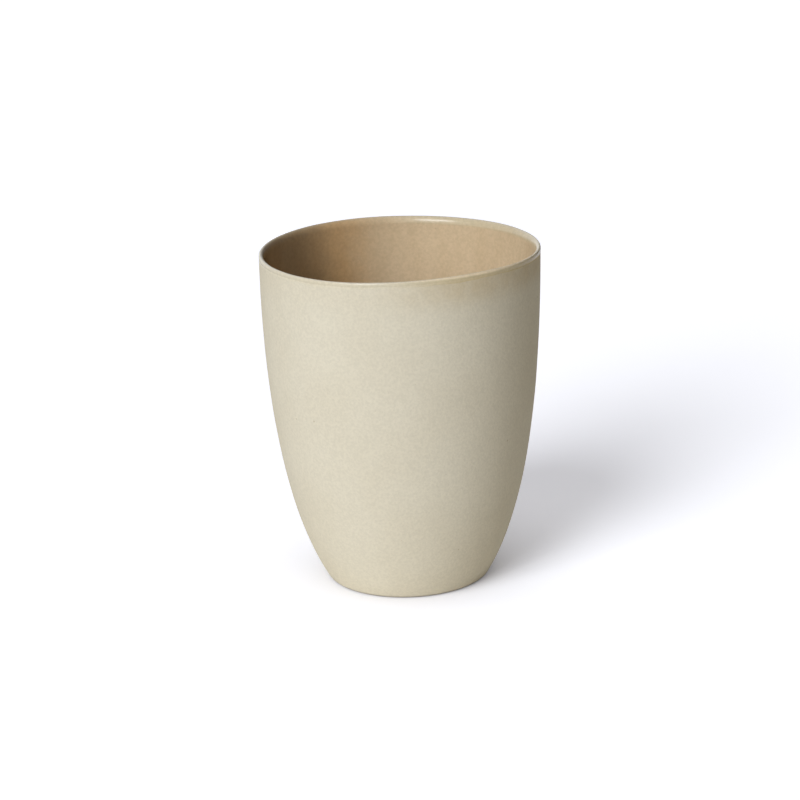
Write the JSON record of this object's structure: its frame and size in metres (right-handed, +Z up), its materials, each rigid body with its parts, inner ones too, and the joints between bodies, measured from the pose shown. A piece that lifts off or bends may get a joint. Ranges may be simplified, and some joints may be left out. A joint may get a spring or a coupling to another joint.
{
  "type": "ceramic beaker",
  "caption": "Tall handleless drinking beaker: matt bare clay outside with a narrow flat foot and upright rim, clear glaze lining the inside and rolling over the lip.",
  "frame": {"origin": "centre of the foot, on the surface that the beaker stands on", "axes": "+Z up along the axis of revolution; the beaker is round, so X and Y are free"},
  "size_m": [0.0906, 0.0906, 0.11],
  "materials": {
    "bare_clay": "matt unglazed, fine grained",
    "clear_glaze": "gloss, the clay showing warmer through it"
  },
  "bodies": {
    "root": {"clay_body": "bare_clay", "glaze_lining": "clear_glaze"}
  },
  "joints": []
}
